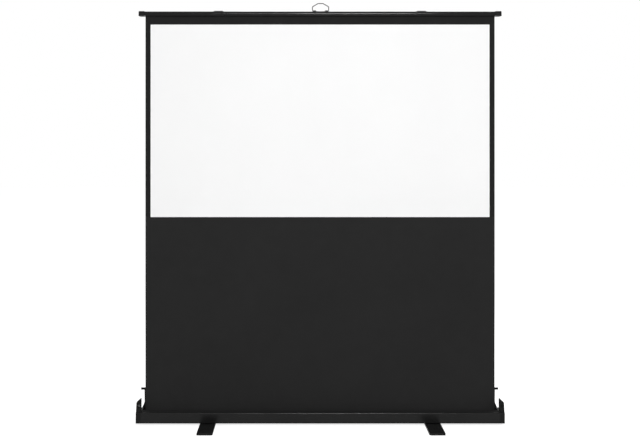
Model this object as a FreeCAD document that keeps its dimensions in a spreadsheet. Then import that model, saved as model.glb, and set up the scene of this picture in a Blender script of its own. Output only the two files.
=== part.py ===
import FreeCAD, Part
import Sketcher
import math
import os
import re

# A floor-standing pull-up projection screen, raised.
# X runs along the case, +Y points away from the viewer and +Z up.
# The origin is on the floor, midway between the swivels of the two feet.

SIZES = {
    # the cloth
    "image_width": 1796, "image_height": 1020, "side_border": 27, "top_border": 45,
    "drop_height": 1023.5, "cloth_thickness": 0.5, "cloth_plane": 11,
    # general fits
    "joint_gap": 0.3, "fit_gap": 0.2, "overrun": 5,
    # the case
    "case_front": 70, "case_back": 60, "case_height": 58.5, "case_wall": 2, "case_nose": 8,
    "case_heel": 4, "case_rear_radius": 3, "side_room": 18.5, "slot_width": 6, "slot_lip": 4,
    "chamber_depth": 66, "port_radius": 4, "port_bore": 1.8, "port_inset": 5.5,
    # the end caps and their ears
    "end_cap_width": 26, "cap_skin": 3, "ear_height": 67.5, "ear_back": 28, "ear_depth": 34,
    "ear_tip": 4, "ear_shoulder": 17, "ear_taper": 3, "ear_radius": 2, "window_width": 5,
    "window_height": 20, "window_inset": 12, "screw_head": 3.4, "screw_sink": 2.6,
    "screw_shank": 1.7, "screw_length": 40, "ear_pocket": 11.5,
    # the roller
    "roller_radius": 15, "roller_wall": 1.2, "roller_room": 5, "roller_lift": 10,
    "plug_depth": 25, "plug_flange": 2, "spindle_radius": 5, "spindle_plate": 4,
    "plate_margin": 9, "plate_radius": 6,
    # the feet
    "foot_width": 82, "foot_length": 556, "foot_thickness": 10, "foot_x": 592,
    "foot_inner_radius": 12, "foot_outer_radius": 4, "foot_rim": 3, "foot_skin": 2.5,
    "foot_hub": 90, "foot_end": 46, "foot_groove": 2, "groove_depth": 0.8, "groove_run": 225,
    "groove_spacing": 16, "groove_start": 38, "groove_count": 5, "pad_thickness": 2, "pad_length": 24,
    "pad_width": 62, "pad_radius": 4, "pad_inset": 8, "swivel_plate": 1.7, "swivel_size": 66,
    "stud_radius": 8, "swivel_head": 12, "swivel_head_height": 1.7, "swivel_recess": 3,
    "swivel_screw": 3,
    # the scissor
    "arm_width": 23.5, "arm_thickness": 10, "arm_gap": 1.5, "arm_end_room": 1, "arm_recess": 2.5,
    "arm_rim": 3, "arm_boss": 18, "fixed_pivot": 538, "layer_gap": 2, "pin_radius": 4,
    "pin_head": 8, "pin_head_height": 1.5, "end_head": 6,
    # the tracks
    "track_gap": 1.3, "track_wall": 2.2, "web_gap": 0.5, "track_roller_radius": 9.5,
    "track_roller_width": 8, "lane_gap": 2, "track_start": 30, "track_end": 3,
    "wheel_round": 1.5,
    # the top bar
    "closed_gap": 3, "bar_height": 24.5, "bar_front": 24, "bar_depth": 74, "bar_wall": 2,
    "bar_nose": 13, "bar_rear_radius": 3, "bar_rear_lift": 4.5, "bar_overhang": 30, "bar_slot": 4,
    "bar_chamber": 18, "bar_groove": 2, "bar_groove_depth": 0.8, "bar_groove_height": 7, "bar_cap_wall": 5,
    "bar_cap_length": 30, "bar_cap_skin": 2, "bar_cap_drop": 1, "hem_radius": 4.2,
    "rod_radius": 3.5, "rod_overhang": 10,
    # the brackets
    "bracket_width": 52, "bracket_height": 4, "bracket_chamfer": 2.5, "tongue_width": 28,
    "tongue_thickness": 3, "tongue_drop": 10, "tongue_round": 8, "saddle_front": 8, "saddle_depth": 50,
    "base_plate_width": 40, "base_plate_lift": 3,
    # the pull loop
    "loop_x": 3, "loop_wire": 2.3, "loop_half": 43, "loop_leg": 22.8, "loop_rise": 40,
    "loop_flat": 13.5, "loop_end": 26, "loop_bend": 6, "loop_lift": 3.2, "lug_near": 24,
    "lug_width": 14, "lug_depth": 16, "lug_height": 6.6, "lug_round": 3,
    "bridge_height": 2,
    # the lid
    "hinge_back": 8, "hinge_drop": 14, "hinge_pin": 3, "eye_radius": 7, "eye_width": 9.4,
    "lid_depth": 52, "lid_height": 112, "lid_wall": 1.5, "lid_skirt": 36, "lid_return": 4,
    "lid_radius": 6, "lid_base": 4, "lid_end_gap": 1.5, "lid_cap_width": 19, "lid_cap_skin": 3,
    "lid_flare": 13, "lid_flare_height": 8, "lid_flare_top": 36, "lid_crown": 1,
    "flare_radius": 12, "waist_radius": 40, "peg_radius": 6.2, "peg_back": 35,
    "peg_height": 106, "peg_reach": 20.5, "lug_skin": 14, "peg_room": 0.7,
}

# Places that follow from the sizes, each a formula on other names.
PLACES = {
    # across
    "cloth_half": "image_width / 2 + side_border",
    "case_half": "cloth_half + side_room",
    "cap_half": "case_half + end_cap_width",
    "bar_half": "cloth_half + bar_overhang",
    "bar_cap_inner": "bar_half + bar_cap_wall - bar_cap_length",
    "roller_half": "cloth_half + roller_room",
    "lid_half": "case_half - lid_end_gap",
    "lid_panel_half": "lid_half - lid_cap_width",
    "arm_length": "bar_cap_inner - arm_width / 2 - arm_end_room + fixed_pivot",
    "moving_pivot": "arm_length * cos(lean) - fixed_pivot",
    "middle_x": "arm_length * cos(lean) / 2 - fixed_pivot",
    # up
    "foot_top": "pad_thickness + foot_thickness",
    "case_bottom": "foot_top + joint_gap + swivel_plate",
    "case_floor": "case_bottom + case_wall",
    "case_top": "case_bottom + case_height",
    "low_pivot": "case_floor + track_wall + joint_gap + track_roller_radius",
    "fold_step": "arm_width + arm_gap",
    "pivot_in_bar": "low_pivot + 2 * fold_step - case_top - closed_gap",
    "bar_under": "case_top + drop_height + image_height + top_border",
    "bar_top": "bar_under + bar_height",
    "high_pivot": "bar_under + pivot_in_bar",
    "rise": "high_pivot - low_pivot",
    "knee_height": "low_pivot + rise / 2",
    "lean": "asin(rise / (2 * arm_length))",
    "lean_back": "acos(0 - cos(lean))",
    "hem_height": "bar_under + bar_wall + hem_radius + fit_gap",
    "loop_pivot": "bar_top + loop_lift",
    # back, from the line of the foot swivels
    "partition_front": "chamber_depth + case_wall - case_front",
    "partition_back": "partition_front + case_wall",
    "roller_y": "0 - cloth_plane - cloth_thickness / 2 - joint_gap - roller_radius",
    "roller_z": "case_floor + roller_radius + roller_lift",
    "top_web": "partition_back + track_gap",
    "top_wheel": "top_web + track_wall + web_gap",
    "front_arm": "top_wheel + track_roller_width + lane_gap",
    "front_arm_back": "front_arm + arm_thickness",
    "rear_arm": "front_arm_back + layer_gap",
    "rear_arm_back": "rear_arm + arm_thickness",
    "base_wheel": "rear_arm_back + lane_gap",
    "base_wheel_back": "base_wheel + track_roller_width",
    "base_web": "base_wheel_back + web_gap",
    "hinge_y": "case_back + hinge_back",
    "hinge_z": "case_top - hinge_drop",
    "lid_back": "hinge_y + lid_depth",
    "lid_front": "lid_back - lid_skirt",
    "lid_foot": "hinge_z - lid_wall",
    "lid_top": "hinge_z + lid_height",
    "peg_y": "hinge_y + peg_back",
    "peg_z": "hinge_z + peg_height",
    "closed_peg_y": "hinge_y - peg_height",
    "closed_peg_z": "hinge_z + peg_back",
}

doc = FreeCAD.newDocument("pull_up_screen")
sheet = doc.addObject("Spreadsheet::Sheet", "sizes")
for row, (name, size) in enumerate(SIZES.items(), start=1):
    sheet.set("A%d" % row, name)
    sheet.set("B%d" % row, str(size))
    sheet.setAlias("B%d" % row, name)
doc.recompute()

pieces = []


def formula(text):
    """The text as an expression on the sheet, with every derived place written out."""
    def spell(match):
        word = match.group(0)
        if word in SIZES:
            return "sizes." + word
        if word in PLACES:
            return "(" + formula(PLACES[word]) + ")"
        return word
    return re.sub(r"[a-z_][a-z_0-9]*", spell, text)


def value(text):
    """What a formula comes to."""
    result = sheet.evalExpression(formula(text))
    return float(getattr(result, "Value", result))


def bind(thing, path, text):
    thing.setExpression(path, formula(text))


def place(thing, x="0", y="0", z="0"):
    bind(thing, "Placement.Base.x", x)
    bind(thing, "Placement.Base.y", y)
    bind(thing, "Placement.Base.z", z)


def new_body(label, x="0", y="0", z="0"):
    """A sub-part of its own, standing at the given place."""
    body = doc.addObject("PartDesign::Body", label)
    body.Label = label
    place(body, x, y, z)
    pieces.append(body)
    return body


def sketch_on(body, plane, offset="0"):
    """An empty sketch on one of the body's origin planes, moved along the plane's normal."""
    sketch = body.newObject("Sketcher::SketchObject", body.Label + "_sketch")
    support = [f for f in body.Origin.OriginFeatures if f.Role == plane][0]
    sketch.AttachmentSupport = (support, "")
    sketch.MapMode = "FlatFace"
    bind(sketch, "AttachmentOffset.Base.z", offset)
    return sketch


def fix(sketch, kind, *where):
    """Add one constraint whose last entry is a formula."""
    index = sketch.addConstraint(Sketcher.Constraint(kind, *where[:-1], value(where[-1])))
    bind(sketch, "Constraints[%d]" % index, where[-1])


def hold_point(sketch, shape, end, u, v):
    """Fix a point at its distances from the sketch's origin."""
    fix(sketch, "DistanceX", -1, 1, shape, end, u)
    fix(sketch, "DistanceY", -1, 1, shape, end, v)


def draw(sketch, corners, closed=True):
    """Straight edges from corner to corner; a corner with a radius is rounded by a tangent arc."""
    points = [FreeCAD.Vector(value(c[0]), value(c[1]), 0) for c in corners]
    radii = [value(c[2]) if len(c) > 2 else 0 for c in corners]
    count = len(corners)
    edges = count if closed else count - 1
    ways = [(points[(i + 1) % count] - points[i]).normalize() for i in range(edges)]
    trims = [r * math.tan(ways[i - 1].getAngle(ways[i]) / 2) if r else 0
             for i, r in enumerate(radii)]
    lines = []
    for i in range(edges):
        after = (i + 1) % count
        run = Part.LineSegment(points[i] + ways[i] * trims[i], points[after] - ways[i] * trims[after])
        lines.append(sketch.addGeometry(run, False))
    for i, corner in enumerate(corners):
        if radii[i]:
            turn = ways[i - 1].cross(ways[i]).z
            round_corner(sketch, corner, points[i], lines[i - 1], lines[i],
                         points[i] - ways[i - 1] * trims[i], points[i] + ways[i] * trims[i], turn)
        elif closed or 0 < i < count - 1:
            sketch.addConstraint(Sketcher.Constraint("Coincident", lines[i - 1], 2, lines[i], 1))
            hold_point(sketch, lines[i], 1, corner[0], corner[1])
        elif i == 0:
            hold_point(sketch, lines[0], 1, corner[0], corner[1])
        else:
            hold_point(sketch, lines[-1], 2, corner[0], corner[1])


def round_corner(sketch, corner, point, line_in, line_out, leave, join, turn):
    """A tangent arc between two edges that would meet at the corner, itself kept as a point."""
    radius = value(corner[2])
    half = (leave + join) / 2 - point
    centre = point + half.normalize() * math.hypot(radius, (leave - point).Length)
    circle = Part.Circle(centre, FreeCAD.Vector(0, 0, 1), radius)
    first, last = (leave, join) if turn > 0 else (join, leave)
    arc = sketch.addGeometry(Part.ArcOfCircle(circle, circle.parameter(first),
                                              circle.parameter(last)), False)
    in_end, out_end = (1, 2) if turn > 0 else (2, 1)
    mark = sketch.addGeometry(Part.Point(point), True)
    hold_point(sketch, mark, 1, corner[0], corner[1])
    sketch.addConstraint(Sketcher.Constraint("PointOnObject", mark, 1, line_in))
    sketch.addConstraint(Sketcher.Constraint("PointOnObject", mark, 1, line_out))
    sketch.addConstraint(Sketcher.Constraint("Tangent", line_in, 2, arc, in_end))
    sketch.addConstraint(Sketcher.Constraint("Tangent", line_out, 1, arc, out_end))
    fix(sketch, "Radius", arc, corner[2])


def circle(sketch, u, v, radius):
    """A full circle at a place in the sketch."""
    middle = FreeCAD.Vector(value(u), value(v), 0)
    ring = sketch.addGeometry(Part.Circle(middle, FreeCAD.Vector(0, 0, 1), value(radius)), False)
    hold_point(sketch, ring, 3, u, v)
    fix(sketch, "Radius", ring, radius)


def slot(sketch, u_from, u_to, v, radius):
    """A long hole or bar with round ends, lying along the sketch's first axis."""
    left = FreeCAD.Vector(value(u_from), value(v), 0)
    right = FreeCAD.Vector(value(u_to), value(v), 0)
    side = FreeCAD.Vector(0, value(radius), 0)
    axis = FreeCAD.Vector(0, 0, 1)
    quarter = math.pi / 2
    under = sketch.addGeometry(Part.LineSegment(left - side, right - side), False)
    over = sketch.addGeometry(Part.LineSegment(right + side, left + side), False)
    end = sketch.addGeometry(Part.ArcOfCircle(Part.Circle(right, axis, side.y), -quarter, quarter),
                             False)
    start = sketch.addGeometry(Part.ArcOfCircle(Part.Circle(left, axis, side.y), quarter,
                                                3 * quarter), False)
    for line, place_on_line, arc, place_on_arc in ((under, 2, end, 1), (over, 1, end, 2),
                                                   (over, 2, start, 1), (under, 1, start, 2)):
        sketch.addConstraint(Sketcher.Constraint("Tangent", line, place_on_line, arc, place_on_arc))
    hold_point(sketch, end, 3, u_to, v)
    hold_point(sketch, start, 3, u_from, v)
    fix(sketch, "Radius", end, radius)


def pad(body, sketch, length, middle=False, back=False):
    """Extrude a sketch into solid, both ways from its plane or to one side."""
    feature = body.newObject("PartDesign::Pad", body.Label + "_pad")
    feature.Profile = sketch
    feature.Midplane = middle
    feature.Reversed = back
    bind(feature, "Length", length)
    doc.recompute()
    return feature


def pocket(body, sketch, length=None, back=False, middle=False):
    """Cut a sketch out of the solid, to a depth or right through, and see that it cut."""
    doc.recompute()
    before = body.Shape.Volume
    feature = body.newObject("PartDesign::Pocket", body.Label + "_pocket")
    feature.Profile = sketch
    feature.Midplane = middle
    feature.Reversed = back
    if length is None:
        feature.Type = "ThroughAll"
    else:
        bind(feature, "Length", length)
    doc.recompute()
    if body.Shape.Volume >= before:
        raise RuntimeError(body.Label + " has a pocket that cuts nothing")
    return feature


def extrusion(label, half, corners):
    """A profile in the Y and Z plane, drawn out equally to both sides of the middle."""
    body = new_body(label)
    sketch = sketch_on(body, "YZ_Plane")
    draw(sketch, corners)
    pad(body, sketch, "2 * (%s)" % half, middle=True)
    return body


def turned(label, steps, along="Y", x="0", y="0", z="0"):
    """A round piece: each step is a radius and the places along the axis where it starts and ends."""
    corners = [("0", steps[0][1])]
    for radius, start, finish in steps:
        corners += [(radius, start), (radius, finish)]
    corners.append(("0", steps[-1][2]))
    body = new_body(label, x, y, z)
    sketch = sketch_on(body, "XZ_Plane" if along == "Z" else "XY_Plane")
    if along == "X":
        corners = [(place_along, radius) for radius, place_along in corners]
    draw(sketch, corners)
    feature = body.newObject("PartDesign::Revolution", label + "_revolution")
    feature.Profile = sketch
    feature.ReferenceAxis = (sketch, ["H_Axis" if along == "X" else "V_Axis"])
    feature.Angle = 360
    doc.recompute()
    return body


def mirrored(label, source):
    """The same piece on the other side of the middle."""
    twin = doc.addObject("Part::Mirroring", label)
    twin.Label = label
    twin.Source = source
    twin.Normal = FreeCAD.Vector(1, 0, 0)
    doc.recompute()
    pieces.append(twin)
    return twin


def make_case_shell():
    """One thin extruded wall: closed roller chamber in front, open trough for the scissor behind."""
    nose, inner_nose = "case_nose", "case_nose - case_wall"
    slot_front = "0 - cloth_plane - slot_width / 2"
    slot_back = "slot_width / 2 - cloth_plane"
    lip = "case_top - case_wall - slot_lip"
    body = extrusion("case_shell", "case_half", [
        ("0 - case_front", "case_bottom", "case_heel"),
        ("case_back", "case_bottom", "case_rear_radius"),
        ("case_back", "case_top"),
        ("case_back - case_wall", "case_top"),
        ("case_back - case_wall", "case_floor"),
        ("partition_back", "case_floor"),
        ("partition_back", "case_top"),
        (slot_back, "case_top"),
        (slot_back, "case_top - case_wall"),
        ("partition_front", "case_top - case_wall"),
        ("partition_front", "case_floor"),
        ("case_wall - case_front", "case_floor", "case_heel - case_wall"),
        ("case_wall - case_front", "case_top - case_wall", inner_nose),
        (slot_front + " - case_wall", "case_top - case_wall"),
        (slot_front + " - case_wall", lip),
        (slot_front, lip),
        (slot_front, "case_top"),
        ("0 - case_front", "case_top", nose),
    ])
    ports = sketch_on(body, "YZ_Plane")
    for y, z in port_places():
        circle(ports, y, z, "port_radius")
    pad(body, ports, "2 * (case_half)", middle=True)
    bores = sketch_on(body, "YZ_Plane")
    for y, z in port_places():
        circle(bores, y, z, "port_bore")
    pocket(body, bores, "2 * (case_half)", middle=True)


def port_places():
    """Where the end cap screws run, in three corners of the case."""
    front, back = "port_inset - case_front", "case_back - port_inset"
    low, high = "case_bottom + port_inset", "case_top - port_inset"
    return (front, low), (front, high), (back, low)


def make_end_caps():
    """Hollow moulded caps with an upstanding ear that takes the lid's latch peg."""
    body = new_body("end_cap_right")
    plate = sketch_on(body, "YZ_Plane", "case_half")
    draw(plate, [("0 - case_front", "case_bottom", "case_heel"),
                 ("case_back", "case_bottom", "case_rear_radius"),
                 ("case_back", "case_top", "case_rear_radius"),
                 ("0 - case_front", "case_top", "case_nose")])
    pad(body, plate, "end_cap_width")
    ear = sketch_on(body, "XZ_Plane", "ear_back")
    ear_foot = "case_top - 2 * cap_skin"
    draw(ear, [("case_half", ear_foot), ("case_half", "case_top + ear_height", "ear_radius"),
               ("case_half + ear_tip", "case_top + ear_height", "ear_radius"),
               ("cap_half - ear_taper", "case_top + ear_height - ear_shoulder", "ear_radius"),
               ("cap_half", ear_foot)])
    pad(body, ear, "ear_depth")
    lug = sketch_on(body, "YZ_Plane", "cap_half - lug_skin")
    draw(lug, [("case_back - case_rear_radius", "hinge_z - eye_radius"),
               ("hinge_y + eye_radius", "hinge_z - eye_radius", "eye_radius - fit_gap"),
               ("hinge_y + eye_radius", "hinge_z + eye_radius", "eye_radius - fit_gap"),
               ("case_back - case_rear_radius", "hinge_z + eye_radius")])
    pad(body, lug, "lug_skin")
    hollow = sketch_on(body, "YZ_Plane", "case_half")
    draw(hollow, [("cap_skin - case_front", "case_bottom + cap_skin"),
                  ("case_back - cap_skin", "case_bottom + cap_skin"),
                  ("case_back - cap_skin", "case_top - cap_skin"),
                  ("cap_skin - case_front", "case_top - cap_skin", "case_nose - cap_skin")])
    pocket(body, hollow, "end_cap_width - cap_skin", back=True)
    groove = sketch_on(body, "YZ_Plane", "case_half")
    draw(groove, [("closed_peg_y - peg_radius - peg_room", "closed_peg_z - peg_radius - peg_room",
                   "peg_radius"),
                  ("closed_peg_y + peg_radius + peg_room", "closed_peg_z - peg_radius - peg_room",
                   "peg_radius"),
                  ("closed_peg_y + peg_radius + peg_room", "case_top + ear_height + overrun"),
                  ("closed_peg_y - peg_radius - peg_room", "case_top + ear_height + overrun")])
    pocket(body, groove, "peg_reach - fit_gap", back=True)
    window = sketch_on(body, "XZ_Plane", "ear_back - overrun")
    draw(window, [("cap_half - window_inset - window_width", "closed_peg_z"),
                  ("cap_half - window_inset", "closed_peg_z"),
                  ("cap_half - window_inset", "closed_peg_z + window_height"),
                  ("cap_half - window_inset - window_width", "closed_peg_z + window_height")])
    pocket(body, window, "ear_depth + 2 * overrun", back=True)
    core = sketch_on(body, "YZ_Plane", "case_half")
    draw(core, [("cap_skin - ear_back - ear_depth", "case_top + cap_skin"),
                ("cap_skin - ear_back - ear_depth + ear_pocket", "case_top + cap_skin"),
                ("cap_skin - ear_back - ear_depth + ear_pocket", "case_top + ear_height - ear_shoulder"),
                ("cap_skin - ear_back - ear_depth", "case_top + ear_height - ear_shoulder")])
    pocket(body, core, "end_cap_width - ear_taper - cap_skin", back=True)
    pin_hole = sketch_on(body, "YZ_Plane", "cap_half - lug_skin")
    circle(pin_hole, "hinge_y", "hinge_z", "hinge_pin + fit_gap")
    pocket(body, pin_hole, "lug_skin - cap_skin", back=True)
    sinks = sketch_on(body, "YZ_Plane", "cap_half")
    holes = sketch_on(body, "YZ_Plane", "cap_half")
    for y, z in port_places():
        circle(sinks, y, z, "screw_head + fit_gap")
        circle(holes, y, z, "screw_shank + fit_gap")
    pocket(body, sinks, "screw_sink")
    pocket(body, holes, "end_cap_width")
    mirrored("end_cap_left", body)


def make_end_cap_screws():
    """Three screws at each end, their heads sunk in the cap and their shanks in the ports."""
    rods = []
    for y, z in port_places():
        for radius, start, length in (("screw_head", "cap_half - screw_sink + fit_gap",
                                       "screw_sink - 2 * fit_gap"),
                                      ("screw_shank", "cap_half - screw_sink - screw_length",
                                       "screw_length + screw_sink / 2")):
            rod = doc.addObject("Part::Cylinder", "screw_part")
            rod.Placement = FreeCAD.Placement(FreeCAD.Vector(),
                                              FreeCAD.Rotation(FreeCAD.Vector(0, 1, 0), 90))
            bind(rod, "Radius", radius)
            bind(rod, "Height", length)
            place(rod, start, y, z)
            rods.append(rod)
    group = doc.addObject("Part::MultiFuse", "end_cap_screws_right")
    group.Label = "end_cap_screws_right"
    group.Shapes = rods
    doc.recompute()
    pieces.append(group)
    mirrored("end_cap_screws_left", group)


def make_roller():
    """The spring roller that winds the cloth, with its end plugs and the plates that carry it."""
    tube = new_body("roller_tube", y="roller_y", z="roller_z")
    ring = sketch_on(tube, "YZ_Plane")
    circle(ring, "0", "0", "roller_radius")
    circle(ring, "0", "0", "roller_radius - roller_wall")
    pad(tube, ring, "2 * (roller_half)", middle=True)
    plug = turned("roller_plug_right", [
        ("roller_radius - roller_wall - fit_gap", "roller_half - plug_depth", "roller_half"),
        ("roller_radius", "roller_half", "roller_half + plug_flange"),
        ("spindle_radius", "roller_half + plug_flange", "case_half - fit_gap"),
    ], along="X", y="roller_y", z="roller_z")
    mirrored("roller_plug_left", plug)
    plate = new_body("spindle_bracket_right")
    outline = sketch_on(plate, "YZ_Plane", "case_half - spindle_plate")
    front, back = "case_wall + plate_margin - case_front", "partition_front - fit_gap"
    low, high = "case_floor", "case_top - case_wall - slot_lip - fit_gap"
    draw(outline, [(front, low), (back, low), (back, high, "plate_radius"),
                   (front, high, "plate_radius")])
    circle(outline, "roller_y", "roller_z", "spindle_radius + fit_gap")
    pad(plate, outline, "spindle_plate")
    mirrored("spindle_bracket_left", plate)


def make_foot():
    """A flat bar, hollow underneath between its hub and its ends, with grooves along its top."""
    body = new_body("foot_right", x="foot_x")
    side, tip = "foot_width / 2", "foot_length / 2"
    outline = sketch_on(body, "XY_Plane", "pad_thickness")
    draw(outline, [("0 - " + side, "0 - " + tip, "foot_inner_radius"),
                   (side, "0 - " + tip, "foot_outer_radius"),
                   (side, tip, "foot_outer_radius"),
                   ("0 - " + side, tip, "foot_inner_radius")])
    pad(body, outline, "foot_thickness")
    hollow = sketch_on(body, "XY_Plane", "pad_thickness")
    for way in ("", "0 - "):
        near, far = way + "foot_hub / 2", way + "(foot_length / 2 - foot_end)"
        draw(hollow, [("foot_rim - " + side, near), (side + " - foot_rim", near),
                      (side + " - foot_rim", far), ("foot_rim - " + side, far)])
    pocket(body, hollow, "foot_thickness - foot_skin", back=True)
    recess = sketch_on(body, "XY_Plane", "pad_thickness")
    circle(recess, "0", "0", "swivel_head + 2 * joint_gap")
    pocket(body, recess, "swivel_recess", back=True)
    bearing = sketch_on(body, "XY_Plane", "foot_top")
    circle(bearing, "0", "0", "stud_radius + fit_gap")
    pocket(body, bearing, "foot_thickness")
    groove = sketch_on(body, "XY_Plane", "foot_top")
    left = "0 - (groove_count - 1) / 2 * groove_spacing - foot_groove / 2"
    right = "foot_groove / 2 - (groove_count - 1) / 2 * groove_spacing"
    for way in ("", "0 - "):
        near, far = way + "groove_start", way + "(groove_start + groove_run)"
        draw(groove, [(left, near), (right, near), (right, far), (left, far)])
    first = pocket(body, groove, "groove_depth")
    rows = body.newObject("PartDesign::LinearPattern", "foot_grooves")
    rows.Originals = [first]
    rows.Direction = (groove, ["H_Axis"])
    bind(rows, "Length", "(groove_count - 1) * groove_spacing")
    bind(rows, "Occurrences", "groove_count")
    body.Tip = rows
    doc.recompute()
    mirrored("foot_left", body)


def make_foot_pads():
    """A rubber pad under each end of each foot."""
    for end, near, far in (("front", "pad_inset - foot_length / 2",
                            "pad_inset + pad_length - foot_length / 2"),
                           ("rear", "foot_length / 2 - pad_inset - pad_length",
                            "foot_length / 2 - pad_inset")):
        body = new_body("foot_pad_right_" + end, x="foot_x")
        outline = sketch_on(body, "XY_Plane")
        draw(outline, [("0 - pad_width / 2", near, "pad_radius"), ("pad_width / 2", near, "pad_radius"),
                       ("pad_width / 2", far, "pad_radius"), ("0 - pad_width / 2", far, "pad_radius")])
        pad(body, outline, "pad_thickness")
        mirrored("foot_pad_left_" + end, body)


def make_swivels():
    """A plate under the case with a stud that each foot turns on, and the screw that keeps it."""
    body = new_body("swivel_plate_right", x="foot_x")
    half = "swivel_size / 2"
    outline = sketch_on(body, "XY_Plane", "foot_top + joint_gap")
    draw(outline, [("0 - " + half, "0 - " + half, "pad_radius"), (half, "0 - " + half, "pad_radius"),
                   (half, half, "pad_radius"), ("0 - " + half, half, "pad_radius")])
    pad(body, outline, "swivel_plate")
    stud = sketch_on(body, "XY_Plane", "foot_top + joint_gap")
    circle(stud, "0", "0", "stud_radius")
    pad(body, stud, "foot_thickness + joint_gap - swivel_recess - fit_gap", back=True)
    bore = sketch_on(body, "XY_Plane", "foot_top + joint_gap + swivel_plate")
    circle(bore, "0", "0", "swivel_screw + fit_gap")
    pocket(body, bore)
    mirrored("swivel_plate_left", body)
    under = "pad_thickness + swivel_recess - joint_gap"
    screw = turned("swivel_screw_right", [
        ("swivel_head", under + " - swivel_head_height", under),
        ("swivel_screw", under, "foot_top"),
    ], along="Z", x="foot_x")
    mirrored("swivel_screw_left", screw)


def make_arm(label, layer, x, z, angle):
    """One flat arm of the scissor, waisted on both faces between its three pivot bosses."""
    body = new_body(label)
    body.Placement = FreeCAD.Placement(FreeCAD.Vector(),
                                       FreeCAD.Rotation(FreeCAD.Vector(0, -1, 0), value(angle)))
    place(body, x, layer + " + arm_thickness / 2", z)
    bind(body, "Placement.Rotation.Angle", angle)
    outline = sketch_on(body, "XZ_Plane")
    slot(outline, "0", "arm_length", "0", "arm_width / 2")
    for pivot in ("0", "arm_length / 2", "arm_length"):
        circle(outline, pivot, "0", "pin_radius + fit_gap")
    pad(body, outline, "arm_thickness", middle=True)
    for face, rear in (("arm_thickness / 2", False), ("0 - arm_thickness / 2", True)):
        waist = sketch_on(body, "XZ_Plane", face)
        for start, finish in (("arm_boss", "arm_length / 2 - arm_boss"),
                              ("arm_length / 2 + arm_boss", "arm_length - arm_boss")):
            slot(waist, start, finish, "0", "arm_width / 2 - arm_rim")
        pocket(body, waist, "arm_recess", back=rear)


def make_scissor():
    """Two crossed pairs of arms, one on top of the other, in two layers behind the cloth."""
    left = "0 - fixed_pivot"
    make_arm("arm_lower_front", "front_arm", left, "low_pivot", "lean")
    make_arm("arm_lower_rear", "rear_arm", "moving_pivot", "low_pivot", "lean_back")
    make_arm("arm_upper_front", "front_arm", left, "knee_height", "lean")
    make_arm("arm_upper_rear", "rear_arm", "moving_pivot", "knee_height", "lean_back")
    for label, x, z in (("middle_pin_lower", "middle_x", "low_pivot + rise / 4"),
                        ("middle_pin_upper", "middle_x", "knee_height + rise / 4"),
                        ("knee_pin_right", "moving_pivot", "knee_height"),
                        ("knee_pin_left", left, "knee_height")):
        turned(label, [
            ("pin_head", "front_arm - fit_gap - pin_head_height", "front_arm - fit_gap"),
            ("pin_radius", "front_arm - fit_gap", "front_arm_back + fit_gap"),
            ("pin_head", "front_arm_back + fit_gap", "rear_arm - fit_gap"),
            ("pin_radius", "rear_arm - fit_gap", "rear_arm_back + fit_gap"),
            ("pin_head", "rear_arm_back + fit_gap", "rear_arm_back + fit_gap + pin_head_height"),
        ], x=x, z=z)
    turned("base_roller_pin", [
        ("end_head", "front_arm_back + 2 * fit_gap", "rear_arm - fit_gap"),
        ("pin_radius", "rear_arm - fit_gap", "rear_arm_back + fit_gap"),
        ("end_head", "rear_arm_back + fit_gap", "base_wheel - fit_gap"),
        ("pin_radius", "base_wheel - fit_gap", "base_wheel_back + fit_gap"),
    ], x="moving_pivot", z="low_pivot")
    turned("top_roller_pin", [
        ("pin_radius", "top_wheel - fit_gap", "front_arm - lane_gap + fit_gap"),
        ("end_head", "front_arm - lane_gap + fit_gap", "front_arm - fit_gap"),
        ("pin_radius", "front_arm - fit_gap", "front_arm_back + fit_gap"),
        ("end_head", "front_arm_back + fit_gap", "rear_arm - 2 * fit_gap"),
    ], x="moving_pivot", z="high_pivot")
    make_wheel("base_roller", "base_wheel", "low_pivot")
    make_wheel("top_roller", "top_wheel", "high_pivot")


def make_wheel(label, near, z):
    """A small nylon wheel that runs between the flanges of a track."""
    body = new_body(label, "moving_pivot", near + " + track_roller_width", z)
    ring = sketch_on(body, "XZ_Plane")
    circle(ring, "0", "0", "track_roller_radius")
    circle(ring, "0", "0", "pin_radius + fit_gap")
    disc = pad(body, ring, "track_roller_width")
    rims = [n for n, edge in enumerate(body.Shape.Edges, start=1)
            if edge.Closed and abs(edge.Curve.Radius - value("track_roller_radius")) < value("fit_gap")]
    soft = body.newObject("PartDesign::Fillet", label + "_rims")
    soft.Base = (disc, ["Edge%d" % n for n in rims])
    bind(soft, "Radius", "wheel_round")
    doc.recompute()


def make_tracks():
    """Channels that the two rollers run in, one on the case's floor and one inside the top bar."""
    wheel_room = "track_roller_radius + joint_gap"
    base = new_body("base_track")
    outline = sketch_on(base, "YZ_Plane", "moving_pivot - track_start")
    edge, web = "base_wheel - web_gap", "base_web"
    floor, roof = "case_floor + track_wall", "low_pivot + " + wheel_room
    draw(outline, [(edge, "case_floor"), (web + " + track_wall", "case_floor"),
                   (web + " + track_wall", roof + " + track_wall"), (edge, roof + " + track_wall"),
                   (edge, roof), (web, roof), (web, floor), (edge, floor)])
    pad(base, outline, "case_half - track_end - moving_pivot + track_start")
    top = new_body("top_track")
    outline = sketch_on(top, "YZ_Plane", "moving_pivot - track_start")
    edge, web = "front_arm - lane_gap", "top_web"
    floor, roof = "high_pivot - track_roller_radius - joint_gap", "high_pivot + " + wheel_room
    draw(outline, [(web, floor + " - track_wall"), (edge, floor + " - track_wall"), (edge, floor),
                   (web + " + track_wall", floor), (web + " + track_wall", roof), (edge, roof),
                   (edge, roof + " + track_wall"), (web + " + track_wall", roof + " + track_wall"),
                   (web + " + track_wall", "bar_top - bar_wall"), (web, "bar_top - bar_wall")])
    pad(top, outline, "bar_cap_inner - moving_pivot + track_start")


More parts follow.
